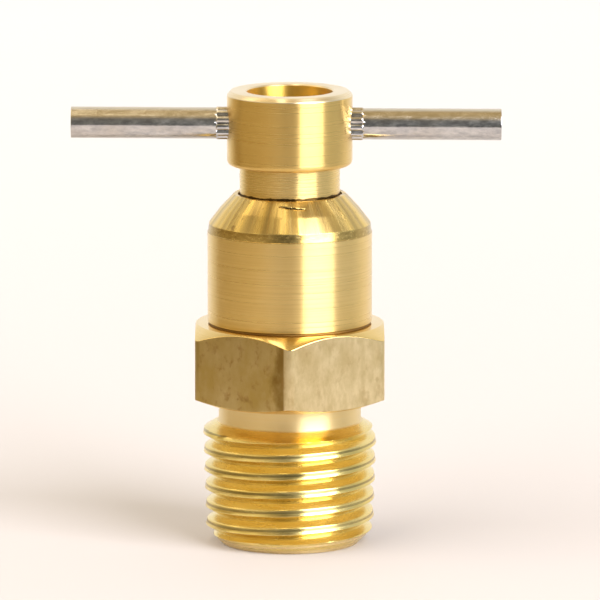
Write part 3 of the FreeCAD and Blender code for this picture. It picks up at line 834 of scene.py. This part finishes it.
def add_inlet_thread(mesh, columns):
    """The end face and the tapered thread, whose crests take a darker colour where the thread is full."""
    foot = [
        (INLET_RADIUS, INLET_DEPTH, 0, 0),
        (INLET_RADIUS, 0.15, 0.05, 2),
        (INLET_RADIUS + 0.15, 0, 0.05, 2),
        (END_RADIUS, 0, 0.1, 4),
        (END_RADIUS + NPT_BOTTOM, NPT_BOTTOM, 0, 0),
    ]
    add_strip(mesh, columns, rounded(foot, columns), RELIEF)

    offsets = thread_offsets(NPT_PITCH, NPT_CREST_FLAT, 0.06, 0.12)
    start = NPT_CREST_HEIGHT + NPT_PITCH / 4
    rows, per_pitch = helical_rows(
        columns, NPT_BOTTOM, NPT_TOP, NPT_PITCH, start, offsets, inlet_thread_radius
    )
    on_crest = np.abs(offsets) < NPT_CREST_FLAT / 2 - DARK_CREST_MARGIN
    by_row = [CREST if on_crest[i % per_pitch] else THREAD for i in range(len(rows))]
    for face in add_strip(mesh, columns, rows, by_row, per_pitch):
        height = face.calc_center_median().z / MM
        if face.material_index == CREST and height > DARK_CREST_TOP:
            face.material_index = THREAD
        if face.material_index == CREST and height < DARK_CREST_BOTTOM:
            face.material_index = RELIEF


def add_outside(mesh, columns):
    """The relief, hexagon, barrel, band, swaged cone and lip, then the cavity behind the lip."""
    across = hexagon_radius(columns)
    low_edge = HEX_BOTTOM + (across - HEX_BOTTOM_FACE_RADIUS) * HEX_BOTTOM_SLOPE
    high_edge = HEX_TOP - (across - HEX_TOP_FACE_RADIUS) * HEX_TOP_SLOPE
    groove = BARREL_RADIUS - BASE_GROOVE_DEPTH
    torn = LIP_INNER_RADIUS + ripple(columns, 0.05, (5, 11, 17, 31), 0.4)
    lip_height = LIP_TOP - 0.02 + ripple(columns, 0.015, (3, 8, 19), 2.0)
    add_zones(mesh, columns, [
        ((RELIEF_RADIUS + (RELIEF_BOTTOM - NPT_TOP) / FLANK, NPT_TOP, 0, 0), RELIEF),
        ((RELIEF_RADIUS, RELIEF_BOTTOM, 0.06, 3), RELIEF),
        ((RELIEF_RADIUS, HEX_BOTTOM, 0.15, 4), CHAMFER),
        ((HEX_BOTTOM_FACE_RADIUS, HEX_BOTTOM, 0.06, 3), CHAMFER),
        ((across, low_edge, 0.07, 4), FLATS),
        ((across, high_edge, 0.07, 4), CHAMFER),
        ((HEX_TOP_FACE_RADIUS, HEX_TOP, 0.08, 3), CHAMFER),
        ((groove, HEX_TOP, 0.04, 3), SHADED),
        ((groove, HEX_TOP + 0.1, 0.03, 2), SHADED),
        ((BARREL_RADIUS, HEX_TOP + 0.17, 0.05, 3), BARREL),
        ((BARREL_RADIUS, BARREL_TOP, 0.02, 2), BAND),
        ((BAND_RADIUS, BARREL_TOP + 0.03, 0.02, 2), BAND),
        ((BAND_TOP_RADIUS, BAND_TOP, 0.16, 4), CONE),
        ((CONE_MIDDLE_RADIUS, CONE_MIDDLE, 2.0, 12), CONE),
        ((LIP_OUTER_RADIUS, lip_height, 0.12, 4), CONE),
        ((torn, lip_height, 0.05, 3), INNER),
        ((LIP_INNER_RADIUS, LIP_BOTTOM, 0.1, 3), INNER),
        ((CAVITY_RADIUS, CAVITY_TOP, 0.1, 3), INNER),
        ((CAVITY_RADIUS, THREAD_HEAD, 0.02, 2), INNER),
        ((BODY_CREST + BODY_LEAD_SLOPE * (BODY_THREAD_TOP - BODY_LEAD_TOP), BODY_THREAD_TOP, 0, 0), INNER),
    ])


def add_passage(mesh, columns):
    """The inner thread, the cylinder, the seat's pocket and the orifice, down to the inlet bore."""
    offsets = thread_offsets(STEM_PITCH, THREAD_FLAT, 0.03, 0.03)
    rows, per_pitch = helical_rows(
        columns, BODY_THREAD_BOTTOM, BODY_THREAD_TOP, STEM_PITCH, RIDGE_HEIGHT, offsets, body_thread_radius
    )
    add_strip(mesh, columns, rows, INNER, per_pitch)
    passage = [
        (BODY_CREST + BODY_LEAD_SLOPE * (BODY_LEAD_BOTTOM - BODY_THREAD_BOTTOM), BODY_THREAD_BOTTOM, 0, 0),
        (CAVITY_RADIUS, THREAD_FOOT, 0.03, 2),
        (CAVITY_RADIUS, CYLINDER_TOP, 0.05, 2),
        (CYLINDER_RADIUS, CYLINDER_TOP, 0.05, 2),
        (CYLINDER_RADIUS, SEAT_TOP, 0.05, 2),
        (SEAT_RADIUS, SEAT_TOP, 0.03, 2),
        (SEAT_RADIUS, SEAT_BOTTOM, 0.03, 2),
        (ORIFICE_RADIUS, SEAT_BOTTOM, 0.05, 2),
        (ORIFICE_RADIUS, ORIFICE_BOTTOM, 0.05, 2),
        (INLET_RADIUS, INLET_DEPTH, 0, 0),
    ]
    add_strip(mesh, columns, rounded(passage, columns), INNER)


def make_body():
    """The body as one closed mesh: thread, relief, hexagon, barrel, swaged lip and the passages inside."""
    columns = body_columns()
    slots = [
        thread_brass(), relief_brass(), flats_brass(), chamfer_brass(), shaded_brass(), barrel_brass(),
        band_brass(), cone_brass(), inner_brass(), crest_brass(),
    ]
    mesh = bmesh.new()
    add_inlet_thread(mesh, columns)
    add_outside(mesh, columns)
    add_passage(mesh, columns)
    body = finish_mesh(mesh, "body_shell", slots)
    even_normals(body)
    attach(body, "valve_body")
    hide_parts("valve_body")


def cutter(radius, half_length, height, axis, tilt=0.0):
    """A many-sided rod along X or Y that cuts a cross hole. A tilt turns its +X end down."""
    mesh = bmesh.new()
    bmesh.ops.create_cone(
        mesh,
        cap_ends=True,
        segments=CUTTER_SIDES,
        radius1=radius * MM,
        radius2=radius * MM,
        depth=2 * half_length * MM,
    )
    across = "Y" if axis == "X" else "X"
    bmesh.ops.rotate(mesh, verts=mesh.verts, matrix=Matrix.Rotation(math.pi / 2 + tilt, 3, across))
    bmesh.ops.translate(mesh, verts=mesh.verts, vec=(0, 0, height * MM))
    data = bpy.data.meshes.new("cutter")
    mesh.to_mesh(data)
    mesh.free()
    tool = bpy.data.objects.new("cutter", data)
    bpy.context.scene.collection.objects.link(tool)
    return tool


def cut_holes(piece, tools):
    """Cuts the tools out of the piece and removes them."""
    for tool in tools:
        cut = piece.modifiers.new("hole", "BOOLEAN")
        cut.operation = "DIFFERENCE"
        cut.solver = "EXACT"
        cut.object = tool
    bpy.context.view_layer.update()
    graph = bpy.context.evaluated_depsgraph_get()
    result = bpy.data.meshes.new_from_object(piece.evaluated_get(graph))
    piece.modifiers.clear()
    piece.data = result
    for tool in tools:
        bpy.data.objects.remove(tool)


def add_shank(mesh, columns):
    """The stem's nose, shank, seal groove and thread."""
    lower = [
        (PASSAGE_RADIUS, NOSE_BOTTOM, 0, 0),
        (NOSE_RADIUS, NOSE_BOTTOM, 0.1, 3),
        (NOSE_RADIUS, SHANK_BOTTOM, 0.03, 2),
        (SHANK_RADIUS - SHANK_CHAMFER, SHANK_BOTTOM, 0.03, 2),
        (SHANK_RADIUS, SHANK_BOTTOM + SHANK_CHAMFER, 0.03, 2),
        (SHANK_RADIUS, SEAL_GROOVE_BOTTOM, 0.03, 2),
        (SEAL_GROOVE_RADIUS, SEAL_GROOVE_BOTTOM, 0.05, 2),
        (SEAL_GROOVE_RADIUS, SEAL_GROOVE_TOP, 0.05, 2),
        (SHANK_RADIUS, SEAL_GROOVE_TOP, 0.03, 2),
        (SHANK_RADIUS, SHANK_TOP, 0.03, 2),
        (THREAD_FOOT_RADIUS, STEM_LEAD_BOTTOM, 0.02, 2),
        (STEM_CREST - STEM_LEAD_DEPTH + (STEM_THREAD_BOTTOM - STEM_LEAD_BOTTOM), STEM_THREAD_BOTTOM, 0, 0),
    ]
    add_strip(mesh, columns, rounded(lower, columns), STEM_INNER)

    offsets = thread_offsets(STEM_PITCH, THREAD_FLAT, 0.03, 0.03)
    rows, per_pitch = helical_rows(
        columns, STEM_THREAD_BOTTOM, STEM_THREAD_TOP, STEM_PITCH, RIDGE_HEIGHT, offsets, stem_thread_radius
    )
    add_strip(mesh, columns, rows, STEM_INNER, per_pitch)


def add_head(mesh, columns):
    """The stem's neck, head and cup, then the passage back down to the nose."""
    drill_depth = (CUP_RADIUS - PASSAGE_RADIUS) / math.tan(DRILL_HALF_ANGLE)
    thread_end_radius = STEM_CREST - STEM_LEAD_SLOPE * (STEM_THREAD_TOP - STEM_LEAD_TOP)
    add_zones(mesh, columns, [
        ((thread_end_radius, STEM_THREAD_TOP, 0, 0), STEM_NECK),
        ((NECK_RADIUS, STEM_THREAD_TOP, 0.1, 3), STEM_NECK),
        ((NECK_RADIUS, HEAD_BOTTOM, 0.08, 3), STEM_HEAD),
        ((HEAD_RADIUS, HEAD_BOTTOM, HEAD_SHOULDER_RADIUS, 8), STEM_HEAD),
        ((HEAD_RADIUS, HEAD_TOP - HEAD_CHAMFER, 0.12, 4), STEM_RIM),
        ((HEAD_RADIUS - HEAD_CHAMFER, HEAD_TOP, 0.1, 4), STEM_RIM),
        ((CUP_RADIUS + CUP_MOUTH, HEAD_TOP, 0.06, 3), STEM_RIM),
        ((CUP_RADIUS, HEAD_TOP - CUP_MOUTH, 0.06, 3), STEM_CUP),
        ((CUP_RADIUS, CUP_BOTTOM, 0.08, 3), STEM_INNER),
        ((PASSAGE_RADIUS, CUP_BOTTOM - drill_depth, 0.05, 3), STEM_INNER),
        ((PASSAGE_RADIUS, NOSE_BOTTOM, 0, 0), STEM_INNER),
    ])


def make_stem():
    """The stem as one closed mesh, with its cross holes cut through it."""
    columns = even_columns(STEM_COLUMNS)
    slots = [inner_brass(), neck_brass(), head_brass(), rim_brass(), cup_brass()]
    mesh = bmesh.new()
    add_shank(mesh, columns)
    add_head(mesh, columns)
    stem = finish_mesh(mesh, "hollow_stem", slots)
    cut_holes(stem, [
        cutter(PIN_HOLE_RADIUS, PIN_HOLE_HALF_LENGTH, PIN_HEIGHT, "X", PIN_TILT),
        cutter(PORT_RADIUS, PORT_HALF_LENGTH, PORT_HEIGHT, "X"),
        cutter(PORT_RADIUS, PORT_HALF_LENGTH, PORT_HEIGHT, "Y"),
    ])
    even_normals(stem)
    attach(stem, "stem")
    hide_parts("stem")


def knurl_profile(columns):
    """Radius of the knurl at each angle: rounded ridges with narrow valleys between them."""
    from_ridge = np.abs(((columns - KNURL_PHASE) / TAU * KNURL_RIDGES + 0.5) % 1 - 0.5) * 2
    return KNURL_CREST - (KNURL_CREST - KNURL_ROOT) * from_ridge**KNURL_VALLEY_POWER


def make_pin():
    """The steel pin, with its straight knurl and its sawn, slightly burred ends."""
    columns = even_columns(KNURL_RIDGES * COLUMNS_PER_RIDGE)
    plain = np.full(len(columns), PIN_RADIUS)
    knurled = knurl_profile(columns)
    # how far in from the knurl's end, and how much of the ridges shows there
    fade = ((-0.2, 0.0), (0.0, 0.0), (0.015, 0.5), (0.05, 0.8), (0.1, 0.95), (0.17, 1.0), (2.5, 1.0))
    # how far in from the pin's end, and how much less the radius is there
    sawn = ((0.0, 0.6), (0.0, 0.03), (0.008, 0.01), (0.03, 0.0), (0.04, 0.0), (0.2, 0.0))

    rings = []
    for side, end in ((-1, PIN_LEFT), (1, PIN_RIGHT)):
        built = [(end, plain * 0)]
        built += [(end - side * inward, plain - less) for inward, less in sawn]
        for inward, share in fade:
            built.append((side * (KNURL_HALF_LENGTH - inward), plain * (1 - share) + knurled * share))
        rings += built if side < 0 else built[::-1]

    mesh = bmesh.new()
    placed = []
    for x, radius in rings:
        ring = [(x * MM, r * math.cos(a) * MM, r * math.sin(a) * MM) for r, a in zip(radius, columns)]
        placed.append([mesh.verts.new(point) for point in ring])
    for first, second in zip(placed, placed[1:]):
        for j in range(len(columns)):
            k = (j + 1) % len(columns)
            mesh.faces.new((first[j], first[k], second[k], second[j])).smooth = True
    bmesh.ops.rotate(mesh, verts=mesh.verts, matrix=Matrix.Rotation(PIN_TILT, 3, "Y"))
    bmesh.ops.translate(mesh, verts=mesh.verts, vec=(0, 0, PIN_HEIGHT * MM))
    pin = finish_mesh(mesh, "steel_pin", [pin_steel()])
    even_normals(pin)
    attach(pin, "stem")
    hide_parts("handle_pin")


def dress_inner_parts():
    """Gives the CAD nodes that stay their own materials."""
    white = soft_material("ptfe_white", (0.8, 0.79, 0.74), (0.9, 0.89, 0.85), 0.5, 0.004)
    black = soft_material("nitrile_black", (0.012, 0.012, 0.012), (0.03, 0.03, 0.03), 0.6, 0.006)
    looks = {
        "seat_insert": white,
        "backup_ring_lower": white,
        "backup_ring_upper": white,
        "stem_o_ring": black,
        "wiper_ring": black,
        "needle_tip": ground_steel(),
    }
    for node, material in looks.items():
        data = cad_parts[node].data
        data.materials.clear()
        data.materials.append(material)


add_studio()
make_body()
make_stem()
make_pin()
dress_inner_parts()
